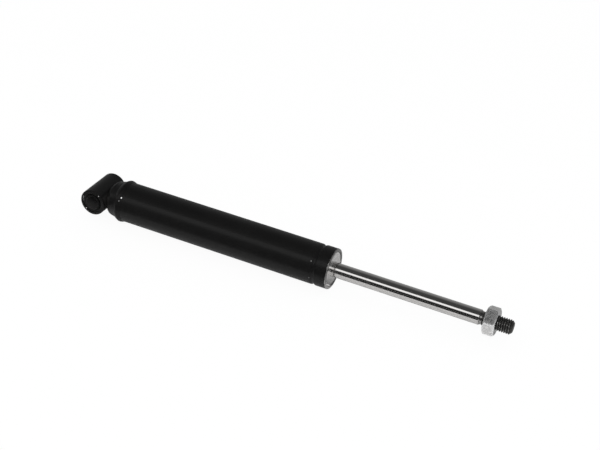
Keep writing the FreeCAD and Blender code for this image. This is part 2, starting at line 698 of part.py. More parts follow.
piston = turned("piston", valve_face("Places.piston_top", "Places.hub_top", "Places.pilot_hole",
                                     "Places.piston_radius") + [
    ("Places.band_top + Dims.run_gap", "Places.piston_radius"),
    ("Places.band_top + Dims.run_gap", "Places.band_groove_floor"),
    ("Places.band_foot - Dims.run_gap", "Places.band_groove_floor"),
    ("Places.band_foot - Dims.run_gap", "Places.piston_radius"),
    ("Places.piston_foot", "Places.piston_radius"),
    ("Places.piston_foot", "Places.pilot_hole"),
])
ring_of_ports(piston, "Places.inner_ring_radius", "Dims.inner_holes")
ring_of_ports(piston, "Places.outer_ring_radius", "Dims.outer_holes")

piston_band = washer("piston_band", "Places.band_foot", "Places.band_top",
                     "Places.band_inside", "Places.band_outside")
split = new_sketch(piston_band, "YZ_Plane")
add_loop(split, [
    ("0", "-Dims.band_split / 2"),
    ("Places.pressure_inside", "-Dims.band_split / 2"),
    ("Places.pressure_inside", "Dims.band_split / 2"),
    ("0", "Dims.band_split / 2"),
])
cut_through(piston_band, split)

disc_stack("rebound_disc", "Places.piston_foot", "Places.pilot_hole")
washer("disc_backing", "Places.backing_foot", "Places.discs_foot",
       "Places.pilot_hole", "Dims.backing_od / 2")
hex_nut("piston_nut", "Places.piston_nut_foot", "Dims.piston_nut_height", "Dims.piston_nut_width",
        "Places.pilot_hole", "Dims.piston_nut_turn")

# Foot valve between the base and the inner tube
foot_valve_body = turned("foot_valve_body", valve_face("Places.foot_top", "Places.foot_hub_top",
                                                       "Places.foot_bolt_hole",
                                                       "Places.spigot_radius") + [
    ("Places.pressure_start", "Places.spigot_radius"),
    ("Places.pressure_start", "Places.pressure_radius"),
    ("Places.foot_seat", "Places.pressure_radius"),
    ("Places.foot_seat", "Places.foot_bolt_hole"),
])
ring_of_ports(foot_valve_body, "Places.inner_ring_radius", "Dims.inner_holes")
ring_of_ports(foot_valve_body, "Places.outer_ring_radius", "Dims.outer_holes")
notch = new_sketch(foot_valve_body, "YZ_Plane", "Places.foot_seat")
add_circle(notch, "Places.pressure_radius * cos(Dims.foot_notch_turn * 1deg)",
           "Places.pressure_radius * sin(Dims.foot_notch_turn * 1deg)", "Dims.foot_notch_od / 2")
notch_cut = foot_valve_body.newObject("PartDesign::Pocket", "foot_notch")
notch_cut.Profile = notch
notch_cut.Reversed = True
notch_cut.setExpression("Length", "Dims.foot_flange")
repeat_about_x(foot_valve_body, notch_cut, "Dims.foot_notches")

check_plate("foot_check_plate", "Places.foot_top")
check_spring("foot_check_spring", "Places.foot_top", "Places.foot_hub_top")
turned("foot_valve_bolt", [
    ("Places.foot_bolt_end", "0"),
    ("Places.foot_bolt_end", "Places.foot_bolt_radius"),
    ("Places.foot_hub_top", "Places.foot_bolt_radius"),
    ("Places.foot_hub_top", "Dims.foot_head_od / 2"),
    ("Places.foot_hub_top + Dims.foot_head_height - Dims.foot_head_chamfer", "Dims.foot_head_od / 2"),
    ("Places.foot_hub_top + Dims.foot_head_height", "Dims.foot_head_od / 2 - Dims.foot_head_chamfer"),
    ("Places.foot_hub_top + Dims.foot_head_height", "0"),
])
disc_stack("compression_disc", "Places.foot_seat", "Places.foot_bolt_hole")
hex_nut("foot_valve_nut", "Places.foot_nut_end", "Dims.foot_nut_height", "Dims.foot_nut_width",
        "Places.foot_bolt_hole", "Dims.foot_nut_turn")

doc.recompute()

failed = [item.Label for item in doc.Objects if {"Invalid", "Error"} & set(item.State)]
bodies = [item for item in doc.Objects if item.isDerivedFrom("PartDesign::Body")]
failed += [body.Label for body in bodies if body.Shape.isNull() or not body.Shape.isValid()]
if failed:
    raise RuntimeError("these did not build: " + ", ".join(failed))

os.makedirs("parts", exist_ok=True)
for body in bodies:
    body.Shape.exportStep(os.path.join("parts", body.Label + ".step"))
    print(f"{body.Label}: {len(body.Shape.Solids)} solids, {body.Shape.Volume:.1f} mm3")
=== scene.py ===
"""Looks of the shock absorber: finishes, detailed meshes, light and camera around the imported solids.

Lengths are in metres, in the solids' own frame: X along the damper towards the stud, Y along the
eye's bore, Z up.
"""
import json
import math

import bmesh
import bpy
from mathutils import Matrix, Quaternion, Vector, noise


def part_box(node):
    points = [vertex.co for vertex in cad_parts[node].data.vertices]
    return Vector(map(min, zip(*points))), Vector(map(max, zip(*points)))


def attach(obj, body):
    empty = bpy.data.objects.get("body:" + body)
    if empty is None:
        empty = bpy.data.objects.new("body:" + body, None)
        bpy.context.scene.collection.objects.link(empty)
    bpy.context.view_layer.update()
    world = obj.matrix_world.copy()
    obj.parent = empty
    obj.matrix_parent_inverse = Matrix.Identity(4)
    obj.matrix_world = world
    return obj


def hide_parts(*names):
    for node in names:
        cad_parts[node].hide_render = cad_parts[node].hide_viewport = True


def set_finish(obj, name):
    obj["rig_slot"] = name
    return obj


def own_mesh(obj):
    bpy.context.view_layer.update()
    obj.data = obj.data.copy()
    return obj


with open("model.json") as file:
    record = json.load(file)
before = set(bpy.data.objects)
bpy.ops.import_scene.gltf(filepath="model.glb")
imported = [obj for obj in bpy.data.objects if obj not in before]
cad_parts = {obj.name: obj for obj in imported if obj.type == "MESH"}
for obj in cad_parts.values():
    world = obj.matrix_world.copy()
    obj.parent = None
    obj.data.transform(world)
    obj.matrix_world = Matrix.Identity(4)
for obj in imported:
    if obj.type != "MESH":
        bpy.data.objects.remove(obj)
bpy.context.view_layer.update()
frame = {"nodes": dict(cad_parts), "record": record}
nodes = frame["nodes"]
scene = bpy.context.scene
MM = 0.001

# Places and sizes shared with the solids
tube_low, tube_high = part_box("reserve_tube")
rod_low, rod_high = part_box("piston_rod")
stop_low, stop_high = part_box("stop_ring")
nut_low, nut_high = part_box("stud_nut")
bead_low, bead_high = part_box("base_weld")
seal_low, seal_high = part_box("rod_seal")
cover_low, cover_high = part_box("end_cover")
BUSH_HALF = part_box("eye_bush")[1].y
ROD_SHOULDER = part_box("check_stop_washer")[1].x
SEAM = tube_low.x
END_FACE = tube_high.x
BEAD_RADIUS = bead_high.z
TUBE_RADIUS = 14.0 * MM
ROD_RADIUS = 5.0 * MM
SLIP_GAP = 0.05 * MM
RUN_GAP = 0.05 * MM

# Shape helpers: the largest share of an edge that a rounded corner takes, and distances that clean a mesh
ROUND_STEPS = 5
ROUND_SHARE = 0.45
SHARP_DEGREES = 35
MERGE_DISTANCE = 1e-7
THIN_DISTANCE = 1e-8


def new_piece(name, shape, body, node, slot, sharp_degrees=SHARP_DEGREES):
    """A finished shape as a piece that stands for a node of the solids."""
    mesh = bpy.data.meshes.new(name)
    shape.to_mesh(mesh)
    shape.free()
    mesh.shade_smooth()
    mesh.set_sharp_from_angle(angle=math.radians(sharp_degrees))
    piece = bpy.data.objects.new(name, mesh)
    scene.collection.objects.link(piece)
    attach(piece, body)
    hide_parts(node)
    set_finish(piece, slot)
    return piece


def rounded(corners, radius, steps=ROUND_STEPS):
    """An outline with each inner corner replaced by a curve, as far as its edges allow."""
    result = [Vector(corners[0])]
    for before, here, after in zip(corners, corners[1:], corners[2:]):
        here = Vector(here)
        back = Vector(before) - here
        ahead = Vector(after) - here
        half = back.angle(ahead) / 2
        reach = min(radius / math.tan(half), back.length * ROUND_SHARE, ahead.length * ROUND_SHARE)
        start = here + back.normalized() * reach
        end = here + ahead.normalized() * reach
        for step in range(steps + 1):
            share = step / steps
            first = start.lerp(here, share)
            second = here.lerp(end, share)
            result.append(first.lerp(second, share))
    result.append(Vector(corners[-1]))
    return result


def arc(start, end, radius, steps):
    """Points on the short arc between two points, bulging to the left of the way."""
    start = Vector(start)
    end = Vector(end)
    chord = end - start
    left = Vector((-chord.y, chord.x)).normalized()
    centre = (start + end) / 2 - left * math.sqrt(radius ** 2 - (chord.length / 2) ** 2)
    first = start - centre
    sweep = first.angle(end - centre)
    return [centre + first @ Matrix.Rotation(sweep * step / steps, 2) for step in range(steps + 1)]


def about_x(x, radius, angle):
    """The point at an angle on a circle about X."""
    return (x, radius * math.cos(angle), radius * math.sin(angle))


def ring_of(shape, along, radius, count, axis):
    """A ring of vertices about X or Y, or a single one on the axis."""
    ring = []
    for number in range(count if radius > 0 else 1):
        x, y, z = about_x(along, radius, math.tau * number / count)
        place = (x, y, z) if axis == "X" else (z, x, y)
        ring.append(shape.verts.new(place))
    return ring


def join_rings(shape, first, second):
    """Faces between two rings, or between a ring and a point on the axis."""
    count = max(len(first), len(second))
    for number in range(count):
        after = (number + 1) % count
        corners = [
            first[number % len(first)],
            second[number % len(second)],
            second[after % len(second)],
            first[after % len(first)],
        ]
        corners = [corner for place, corner in enumerate(corners) if corner not in corners[:place]]
        shape.faces.new(corners)


def lathe(shape, outline, count, axis="X", closed=False):
    """Turns an outline of (along, radius) points into a surface, and returns its rings."""
    rings = [ring_of(shape, along, radius, count, axis) for along, radius in outline]
    for first, second in zip(rings, rings[1:]):
        join_rings(shape, first, second)
    if closed:
        join_rings(shape, rings[-1], rings[0])
    return rings


def face_outwards(shape):
    """Merges vertices that coincide, drops faces with no area and turns the rest outwards."""
    bmesh.ops.remove_doubles(shape, verts=shape.verts, dist=MERGE_DISTANCE)
    bmesh.ops.dissolve_degenerate(shape, edges=shape.edges, dist=THIN_DISTANCE)
    bmesh.ops.recalc_face_normals(shape, faces=shape.faces)


# Rod: a turned shaft
ROD_TURNS = 96
ROD_CHAMFER = 0.6 * MM
ROD_EDGE = 0.25 * MM
ROD_FLAT_START = 1.0 * MM
ROD_SHARP_DEGREES = 30
PILOT_RADIUS = 3.5 * MM
PILOT_CHAMFER = 0.6 * MM
STOP_GROOVE_RADIUS = 4.4 * MM
NUT_SETBACK = 3.0 * MM
RELIEF_LENGTH = 1.3 * MM
RELIEF_DEPTH = 0.4 * MM
CHROME_END = nut_low.x - NUT_SETBACK

# Thread on the rod's stud: widths along X, the straight share of its flanks, and how its two ends taper
STUD_RADIUS = 4.925 * MM
THREAD_START = CHROME_END + RELIEF_LENGTH
THREAD_PITCH = 1.5 * MM
THREAD_DEPTH = 0.74 * MM
THREAD_ROWS = 14
CREST_WIDTH = 0.28 * MM
FLANK_WIDTH = 0.50 * MM
FLANK_STRAIGHT = 0.75
START_SLOPE = 0.9
TIP_CHAMFER = 1.5 * MM
TIP_SHARE_UNDER_ROOT = 0.6
TIP_FLAT = 1.0 * MM


def thread_radius(share):
    """Radius of the thread at a share of one pitch, from the middle of a root."""
    away = abs(share - 0.5) * THREAD_PITCH
    drop = (away - CREST_WIDTH / 2) / FLANK_WIDTH
    drop = min(max(drop, 0.0), 1.0)
    eased = drop * drop * (3 - 2 * drop)
    drop = FLANK_STRAIGHT * drop + (1 - FLANK_STRAIGHT) * eased
    return STUD_RADIUS - THREAD_DEPTH * drop


def end_limit(x):
    """The largest radius that the stud's two tapered ends leave at a place along X."""
    root = STUD_RADIUS - THREAD_DEPTH
    from_tip = root - TIP_SHARE_UNDER_ROOT * TIP_CHAMFER + (rod_high.x - x)
    from_start = root + (x - THREAD_START) * START_SLOPE
    return min(STUD_RADIUS, from_tip, from_start)


def threaded_stud(shape):
    """The helical surface of the stud, with its first and last rings flat."""
    turns = math.ceil((rod_high.x - THREAD_START) / THREAD_PITCH) + 2
    columns = []
    for number in range(ROD_TURNS):
        angle = math.tau * number / ROD_TURNS
        column = []
        for row in range(turns * THREAD_ROWS):
            x = THREAD_START + (row / THREAD_ROWS - 1 + number / ROD_TURNS) * THREAD_PITCH
            x = min(max(x, THREAD_START), rod_high.x)
            radius = min(thread_radius(row / THREAD_ROWS % 1.0), end_limit(x))
            column.append(shape.verts.new(about_x(x, radius, angle)))
        columns.append(column)
    for number, column in enumerate(columns):
        last = number == ROD_TURNS - 1
        beside = columns[0] if last else columns[number + 1]
        ahead = THREAD_ROWS if last else 0
        for row in range(len(column) - 1 - THREAD_ROWS):
            corners = [column[row], column[row + 1], beside[row + 1 + ahead], beside[row + ahead]]
            shape.faces.new(corners)


def make_rod():
    """The shaft, its threaded stud and the flat tip as one piece."""
    shape = bmesh.new()
    shaft = rounded([
        (rod_low.x, 0.0),
        (rod_low.x, PILOT_RADIUS - PILOT_CHAMFER),
        (rod_low.x + PILOT_CHAMFER, PILOT_RADIUS),
        (ROD_SHOULDER, PILOT_RADIUS),
        (ROD_SHOULDER, ROD_RADIUS),
        (stop_low.x, ROD_RADIUS),
        (stop_low.x, STOP_GROOVE_RADIUS),
        (stop_high.x, STOP_GROOVE_RADIUS),
        (stop_high.x, ROD_RADIUS),
        (stop_high.x + ROD_FLAT_START, ROD_RADIUS),
        (CHROME_END - ROD_CHAMFER - ROD_FLAT_START, ROD_RADIUS),
        (CHROME_END - ROD_CHAMFER, ROD_RADIUS),
        (CHROME_END, STUD_RADIUS - RELIEF_DEPTH),
        (THREAD_START, end_limit(THREAD_START)),
    ], ROD_EDGE)
    lathe(shape, shaft, ROD_TURNS)
    threaded_stud(shape)
    tip = rounded([
        (rod_high.x, end_limit(rod_high.x)),
        (rod_high.x, TIP_FLAT),
        (rod_high.x, 0.0),
    ], ROD_EDGE)
    lathe(shape, tip, ROD_TURNS)
    face_outwards(shape)
    return new_piece("rod_threaded", shape, "rod", "piston_rod", "rod_chrome", ROD_SHARP_DEGREES)


# Nut: a hexagon with rounded corners, trimmed by a cone at each end
NUT_SIDES = 6
NUT_PART = math.tau / NUT_SIDES
NUT_FLAT_STEPS = 24
NUT_CORNER_STEPS = 4
NUT_WIDTH = 17.0 * MM
NUT_CORNER_ROUND = 0.12 * MM
NUT_TURN = math.radians(40.6)
NUT_FACE_RADIUS = 0.475 * NUT_WIDTH
NUT_CONE = math.tan(math.radians(30))
NUT_LEAST_DROP = 0.05 * MM
NUT_BORE = 4.95 * MM
NUT_MOUTH = 0.55 * MM
NUT_EDGE = 0.25 * MM
NUT_EDGE_STEPS = 3
NUT_SHARP_DEGREES = 25
# Distance from a rounded edge to a flat face's next points, which keep the face flat beside the edge
FLAT_START = 0.6 * MM


def nut_side(angle):
    """Distance of the hexagon's side from the axis, with its corners rounded."""
    from_corner = (angle - NUT_TURN + NUT_PART / 2) % NUT_PART - NUT_PART / 2
    side = NUT_WIDTH / 2 / math.cos(NUT_PART / 2 - abs(from_corner))
    centre = (NUT_WIDTH / 2 - NUT_CORNER_ROUND) / math.cos(NUT_PART / 2)
    across = centre * math.sin(from_corner)
    if abs(across) < NUT_CORNER_ROUND:
        round_side = centre * math.cos(from_corner) + math.sqrt(NUT_CORNER_ROUND ** 2 - across ** 2)
        side = min(side, round_side)
    return side


def nut_angles():
    """The angles of the nut's columns: close together on each rounded corner, wider on the flats."""
    corner = NUT_CORNER_ROUND * math.sin(NUT_PART / 2) / (NUT_WIDTH / 2 / math.cos(NUT_PART / 2))
    angles = []
    for side in range(NUT_SIDES):
        start = NUT_TURN + side * NUT_PART
        for step in range(NUT_CORNER_STEPS):
            angles.append(start - corner + 2 * corner * step / NUT_CORNER_STEPS)
        for step in range(NUT_FLAT_STEPS):
            angles.append(start + corner + (NUT_PART - 2 * corner) * step / NUT_FLAT_STEPS)
    return angles


def nut_outline(side):
    """The nut's section where its side is at a distance from the axis."""
    drop = max(side - NUT_FACE_RADIUS, 0.0) * NUT_CONE + NUT_LEAST_DROP
    face_end = min(NUT_FACE_RADIUS, side)
    start_half = [
        (nut_low.x + NUT_MOUTH, NUT_BORE),
        (nut_low.x, NUT_BORE + NUT_MOUTH),
        (nut_low.x, NUT_BORE + NUT_MOUTH + FLAT_START),
        (nut_low.x, face_end - FLAT_START),
        (nut_low.x, face_end),
        (nut_low.x + drop, side),
        (nut_low.x + drop + FLAT_START, side),
    ]
    end_half = [(nut_low.x + nut_high.x - x, radius) for x, radius in reversed(start_half)]
    return rounded([*start_half, *end_half], NUT_EDGE, NUT_EDGE_STEPS)


def make_nut():
    """The nut, as one closed section at each of its angles."""
    shape = bmesh.new()
    columns = []
    for angle in nut_angles():
        outline = nut_outline(nut_side(angle))
        columns.append([shape.verts.new(about_x(x, radius, angle)) for x, radius in outline])
    for number, column in enumerate(columns):
        beside = columns[(number + 1) % len(columns)]
        rows = len(column)
        for row in range(rows):
            after = (row + 1) % rows
            shape.faces.new([column[row], column[after], beside[after], beside[row]])
    face_outwards(shape)
    return new_piece("nut_rounded", shape, "rod", "stud_nut", "nut_zinc", NUT_SHARP_DEGREES)


# Weld bead round the base, with the ripples that each pass of the torch leaves
BEAD_TURNS = 360
BEAD_PEAK = 0.55 * MM
BEAD_CREST = 0.6 * MM
BEAD_BACK_RADIUS = 13.42 * MM
BEAD_BACK_ROUND = 11.2 * MM
BEAD_BACK_STEPS = 14
BEAD_FRONT_ROUND = 11.2 * MM
BEAD_FRONT_STEPS = 12
BEAD_RIPPLES = 52
BEAD_RIPPLE_DEPTH = 0.05 * MM
BEAD_RIPPLE_LAG = 2.5
BEAD_RIPPLE_MIDDLE = 0.4
BEAD_WANDER = 0.10 * MM
BEAD_WANDER_ROUND = 4
BEAD_WANDER_ACROSS = 3
BEAD_SHARP_DEGREES = 50


def bead_outline():
    """The bead's section, from its back edge on the cone over its top to its front edge on the tube."""
    back = (bead_low.x, BEAD_BACK_RADIUS)
    crest_start = (SEAM + BEAD_PEAK - BEAD_CREST / 2, BEAD_RADIUS)
    crest_end = (SEAM + BEAD_PEAK + BEAD_CREST / 2, BEAD_RADIUS)
    front = (bead_high.x, TUBE_RADIUS + SLIP_GAP)
    return [
        *arc(back, crest_start, BEAD_BACK_ROUND, BEAD_BACK_STEPS),
        *arc(crest_end, front, BEAD_FRONT_ROUND, BEAD_FRONT_STEPS),
    ]


def bead_sink(share, turn):
    """How far curved ripples and a slow wander sink the bead, at a share of its width and an angle."""
    lag = BEAD_RIPPLE_LAG * (share - BEAD_RIPPLE_MIDDLE) ** 2 * math.tau
    wave = math.sin(BEAD_RIPPLES * turn + lag)
    wander = noise.noise(Vector((
        BEAD_WANDER_ROUND * math.cos(turn),
        BEAD_WANDER_ROUND * math.sin(turn),
        BEAD_WANDER_ACROSS * share,
    )))
    depth = BEAD_RIPPLE_DEPTH * (0.5 - 0.5 * wave) + BEAD_WANDER * (0.5 - 0.5 * wander)
    return math.sin(math.pi * share) * depth


def make_bead():
    """The bead, turned from its section and then sunk by its ripples."""
    shape = bmesh.new()
    foot = (SEAM, TUBE_RADIUS + SLIP_GAP)
    rings = lathe(shape, [*bead_outline(), foot], BEAD_TURNS, closed=True)
    width = bead_high.x - bead_low.x
    for ring in rings[:-1]:
        for number, vertex in enumerate(ring):
            share = (vertex.co.x - bead_low.x) / width
            out = Vector((0, vertex.co.y, vertex.co.z)).normalized()
            vertex.co -= out * bead_sink(share, math.tau * number / BEAD_TURNS)
    face_outwards(shape)
    return new_piece("bead_rippled", shape, "barrel", "base_weld", "black_paint", BEAD_SHARP_DEGREES)


# Rubber of the eye: bulged ends between the ring and the sleeve
BUSH_INSIDE = 6.15 * MM
BUSH_OUTSIDE = 7.5 * MM
BUSH_ROUND = 0.5 * MM
# Points of the bulge in mm: distance back from the end, and height over the bore
BUSH_BULGE = [(0.9, 0.0), (0.35, 0.12), (0.0, 0.55), (0.05, 0.95), (0.18, 1.2), (0.4, 1.35)]


def make_bush():
    """The bush, from one half of its section and that half mirrored."""
    shape = bmesh.new()
    bulge = [(BUSH_HALF - back * MM, BUSH_INSIDE + height * MM) for back, height in BUSH_BULGE]
    outline = rounded([(0.0, BUSH_INSIDE), *bulge, (0.0, BUSH_OUTSIDE)], BUSH_ROUND)
    other = [(-along, radius) for along, radius in reversed(outline[1:-1])]
    lathe(shape, [*outline, *other], ROD_TURNS, axis="Y", closed=True)
    face_outwards(shape)
    return new_piece("bush_moulded", shape, "barrel", "eye_bush", "bush_rubber")


# Seal: the moulded lips round the rod
SEAL_BORE = ROD_RADIUS + RUN_GAP
SEAL_OUTSIDE = 9.45 * MM
SEAL_WALL = 1.6 * MM
SEAL_POCKET = 3.0 * MM
SEAL_RELIEF = 0.7 * MM
SEAL_LIP_WALL = 1.5 * MM
SEAL_LIP_START = 0.4 * MM
SEAL_LIP_EDGE = 1.0 * MM
SEAL_LIP_WIDTH = 0.6 * MM
SEAL_LIP_BLEND = 2.6 * MM
DUST_LIP_WIDTH = 0.8 * MM
SEAL_EDGE = 0.15 * MM
SEAL_EDGE_STEPS = 3


def make_seal():
    """The seal, from its pocket round the outside and back along its lips."""
    shape = bmesh.new()
    foot = seal_low.x
    top = seal_high.x
    lip_end = foot + SEAL_LIP_EDGE + SEAL_LIP_WIDTH
    outline = rounded([
        (foot + SEAL_POCKET, SEAL_OUTSIDE - SEAL_WALL),
        (foot, SEAL_OUTSIDE - SEAL_WALL),
        (foot, SEAL_OUTSIDE),
        (top, SEAL_OUTSIDE),
        (top, SEAL_BORE),
        (top - DUST_LIP_WIDTH, SEAL_BORE),
        (top - 2 * DUST_LIP_WIDTH, SEAL_BORE + SEAL_RELIEF),
        (lip_end + SEAL_LIP_BLEND, SEAL_BORE + SEAL_RELIEF),
        (lip_end, SEAL_BORE),
        (foot + SEAL_LIP_EDGE, SEAL_BORE),
        (foot + SEAL_LIP_START, SEAL_BORE + SEAL_RELIEF),
        (foot + SEAL_LIP_START, SEAL_BORE + SEAL_LIP_WALL),
        (foot + SEAL_POCKET, SEAL_BORE + SEAL_LIP_WALL),
    ], SEAL_EDGE, SEAL_EDGE_STEPS)
    lathe(shape, outline, ROD_TURNS, closed=True)
    face_outwards(shape)
    return new_piece("seal_moulded", shape, "barrel", "rod_seal", "seal_rubber")


# Cover: the turned disc round the rod, with softened edges and its bore drawn close to the rod
COVER_TURNS = 192
COVER_BORE = 5.03 * MM
COVER_BOSS = 11.93 * MM
COVER_BOSS_HEIGHT = 0.65 * MM
COVER_CHAMFER = 0.3 * MM
COVER_OUTLINE_START = 0.8 * MM
COVER_EDGE = 0.06 * MM
COVER_EDGE_STEPS = 3
COVER_SHARP_DEGREES = 20
BORE_CHAMFER = 0.05 * MM


def make_cover():
    """The cover, from an outline that starts and ends inside the bore."""
    shape = bmesh.new()
    rim = cover_high.x - COVER_BOSS_HEIGHT
    inside_bore = (cover_low.x + COVER_OUTLINE_START, COVER_BORE)
    outline = rounded([
        inside_bore,
        (cover_low.x, COVER_BORE),
        (cover_low.x, cover_high.z),
        (rim, cover_high.z),
        (rim, COVER_BOSS),
        (cover_high.x - COVER_CHAMFER, COVER_BOSS),
        (cover_high.x, COVER_BOSS - COVER_CHAMFER),
        (cover_high.x, COVER_BOSS - COVER_CHAMFER - FLAT_START),
        (cover_high.x, COVER_BORE + BORE_CHAMFER + FLAT_START),
        (cover_high.x, COVER_BORE + BORE_CHAMFER),
        (cover_high.x - BORE_CHAMFER, COVER_BORE),
        inside_bore,
    ], COVER_EDGE, COVER_EDGE_STEPS)
    lathe(shape, outline[:-1], COVER_TURNS, closed=True)
    face_outwards(shape)
    return new_piece("cover_turned", shape, "barrel", "end_cover", "cover_steel", COVER_SHARP_DEGREES)


# Star springs of the two check valves: a flat rim, and fingers that flatten as the plate lifts
SPRING_FINGERS = 6
SPRING_PART = math.tau / SPRING_FINGERS
SPRING_BORE = 4.65 * MM
SPRING_BEND = 5.6 * MM
SPRING_TIP = 7.85 * MM
SPRING_SLOT_START = 6.075 * MM
SPRING_SLOT_WIDTH = 1.5 * MM
SPRING_THICKNESS = 0.25 * MM
SPRING_CURVE = 1.2
SPRING_RIM_ROWS = 6
SPRING_FINGER_ROWS = 8
SPRING_FINGER_STEPS = 12


def spring_rows():
    """The radii of the star's rows: those of its rim, up to the start of the slots, and those beyond."""
    rim_step = (SPRING_SLOT_START - SPRING_BORE) / SPRING_RIM_ROWS
    finger_step = (SPRING_TIP - SPRING_SLOT_START) / SPRING_FINGER_ROWS
    rim = [SPRING_BORE + rim_step * row for row in range(SPRING_RIM_ROWS + 1)]
    fingers = [SPRING_SLOT_START + finger_step * row for row in range(1, SPRING_FINGER_ROWS + 1)]
    return rim, fingers


def star_row(shape, radius, x):
    """One row of each finger, from the edge of one slot to the edge of the next."""
    slot = math.asin(SPRING_SLOT_WIDTH / 2 / max(radius, SPRING_SLOT_START))
    row = []
    for finger in range(SPRING_FINGERS):
        for step in range(SPRING_FINGER_STEPS + 1):
            angle = finger * SPRING_PART + slot + (SPRING_PART - 2 * slot) * step / SPRING_FINGER_STEPS
            row.append(shape.verts.new(about_x(x, radius, angle)))
    return row


def star_top(shape, low, high):
    """The star's upper surface, with open slots between its fingers."""
    rim, fingers = spring_rows()
    rows = []
    for radius in [*rim, *fingers]:
        share = max(radius - SPRING_BEND, 0.0) / (SPRING_TIP - SPRING_BEND)
        x = high.x - (high.x - low.x - SPRING_THICKNESS) * share ** SPRING_CURVE
        rows.append(star_row(shape, radius, x))
    for number, (row, outer) in enumerate(zip(rows, rows[1:])):
        for place in range(len(row)):
            at_slot = place % (SPRING_FINGER_STEPS + 1) == SPRING_FINGER_STEPS
            if at_slot and number >= len(rim) - 1:
                continue
            after = (place + 1) % len(row)
            shape.faces.new([row[place], row[after], outer[after], outer[place]])


def thicken(shape, thickness):
    """Closes an open surface with a copy lower along X and with walls round its edges."""
    borders = [edge.verts[:] for edge in shape.edges if len(edge.link_faces) == 1]
    top_faces = shape.faces[:]
    drop = Vector((thickness, 0, 0))
    under = {vertex: shape.verts.new(vertex.co - drop) for vertex in shape.verts[:]}
    for face in top_faces:
        shape.faces.new([under[vertex] for vertex in reversed(face.verts)])
    for first, second in borders:
        shape.faces.new([first, second, under[second], under[first]])


def make_check_spring(name, body, node):
    """One star spring, with a mesh of its own."""
    shape = bmesh.new()
    low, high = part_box(node)
    star_top(shape, low, high)
    thicken(shape, SPRING_THICKNESS)
    face_outwards(shape)
    piece = new_piece(name, shape, body, node, "spring_steel")
    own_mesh(piece)
    return piece


# Finish helpers: the range that most of a noise lies in, and the sockets of a colour mix
NOISE_RANGE = (0.3, 0.7)
NOISE_ROUGHNESS = 0.55
MIX_INPUTS = (0, 6, 7)
MIX_OUTPUT = 2


def fill(tree, socket, given):
    """A plain value for a socket, or a link from another node's output."""
    if isinstance(given, bpy.types.NodeSocket):
        tree.links.new(given, socket)
    else:
        socket.default_value = given


def add_node(tree, kind, inputs=None, **settings):
    """One shader node. An input is a plain value, or another node's output to link."""
    made = tree.nodes.new(kind)
    for name, setting in settings.items():
        setattr(made, name, setting)
    for key, given in (inputs or {}).items():
        fill(tree, made.inputs[key], given)
    return made


def new_finish(name):
    """A new material, with its tree, its shader and the object's own coordinates."""
    finish = bpy.data.materials.new(name)
    finish.use_nodes = True
    tree = finish.node_tree
    shader = tree.nodes["Principled BSDF"]
    place = add_node(tree, "ShaderNodeTexCoord").outputs["Object"]
    return finish, tree, shader, place


def set_shader(tree, shader, **inputs):
    """Values and links for the shader, with the spaces of its input names written as _."""
    for name, given in inputs.items():
        fill(tree, shader.inputs[name.replace("_", " ")], given)


def axes_of(tree, place):
    """The outputs X, Y and Z of a place."""
    return add_node(tree, "ShaderNodeSeparateXYZ", {"Vector": place}).outputs


def calculate(tree, operation, first, second=0.0):
    """A number worked out from one number or two."""
    made = add_node(tree, "ShaderNodeMath", {0: first, 1: second}, operation=operation)
    return made.outputs["Value"]


def distance_from(tree, place, centre):
    """Distance from a point."""
    made = add_node(tree, "ShaderNodeVectorMath", {0: place, 1: centre}, operation="DISTANCE")
    return made.outputs["Value"]


def radius_about(tree, place, axis):
    """Distance from the X or the Y axis."""
    kept = (0, 1, 1) if axis == "X" else (1, 0, 1)
    across = add_node(tree, "ShaderNodeVectorMath", {0: place, 1: kept}, operation="MULTIPLY")
    made = add_node(tree, "ShaderNodeVectorMath", {0: across.outputs["Vector"]}, operation="LENGTH")
    return made.outputs["Value"]


def noise_of(tree, place, size, detail=3.0, stretch=(1, 1, 1)):
    """Noise whose grains are about one size across, stretched along the axes."""
    scale = [1 / (size * share) for share in stretch]
    scaled = add_node(tree, "ShaderNodeMapping", {"Vector": place, "Scale": scale})
    made = add_node(tree, "ShaderNodeTexNoise", {
        "Vector": scaled.outputs["Vector"],
        "Scale": 1.0,
        "Detail": detail,
        "Roughness": NOISE_ROUGHNESS,
    })
    return made.outputs["Fac"]


def spread(tree, value, low, high, to_low, to_high):
    """A value mapped from one range to another, and held at its ends."""
    made = add_node(tree, "ShaderNodeMapRange", {
        "Value": value, "From Min": low, "From Max": high, "To Min": to_low, "To Max": to_high,
    }, interpolation_type="SMOOTHSTEP")
    return made.outputs["Result"]


def rising(tree, value, start, end):
    """0 up to the start, and 1 from the end."""
    return spread(tree, value, start, end, 0.0, 1.0)


def falling(tree, value, start, end):
    """1 up to the start, and 0 from the end."""
    return spread(tree, value, start, end, 1.0, 0.0)


def between(tree, share, low, high):
    """A level that a share from 0 to 1 takes from one level to another."""
    return spread(tree, share, 0.0, 1.0, low, high)


def varied(tree, grain, low, high):
    """A level that a noise takes from one level to another."""
    return spread(tree, grain, *NOISE_RANGE, low, high)


def blend(tree, share, first, second):
    """A colour between two colours."""
    made = add_node(tree, "ShaderNodeMix", data_type="RGBA")
    for number, given in zip(MIX_INPUTS, [share, first, second]):
        fill(tree, made.inputs[number], given)
    return made.outputs[MIX_OUTPUT]


def bump(tree, height, depth, under=None):
    """A bumped normal whose full height is a depth in metres."""
    inputs = {"Height": height, "Distance": depth, "Strength": 1.0}
    if under is not None:
        inputs["Normal"] = under
    return add_node(tree, "ShaderNodeBump", inputs).outputs["Normal"]


def grey(level, warmth=0.0):
    """A neutral colour, a little warmer or cooler."""
    return (level * (1 + warmth), level, level * (1 - warmth), 1.0)
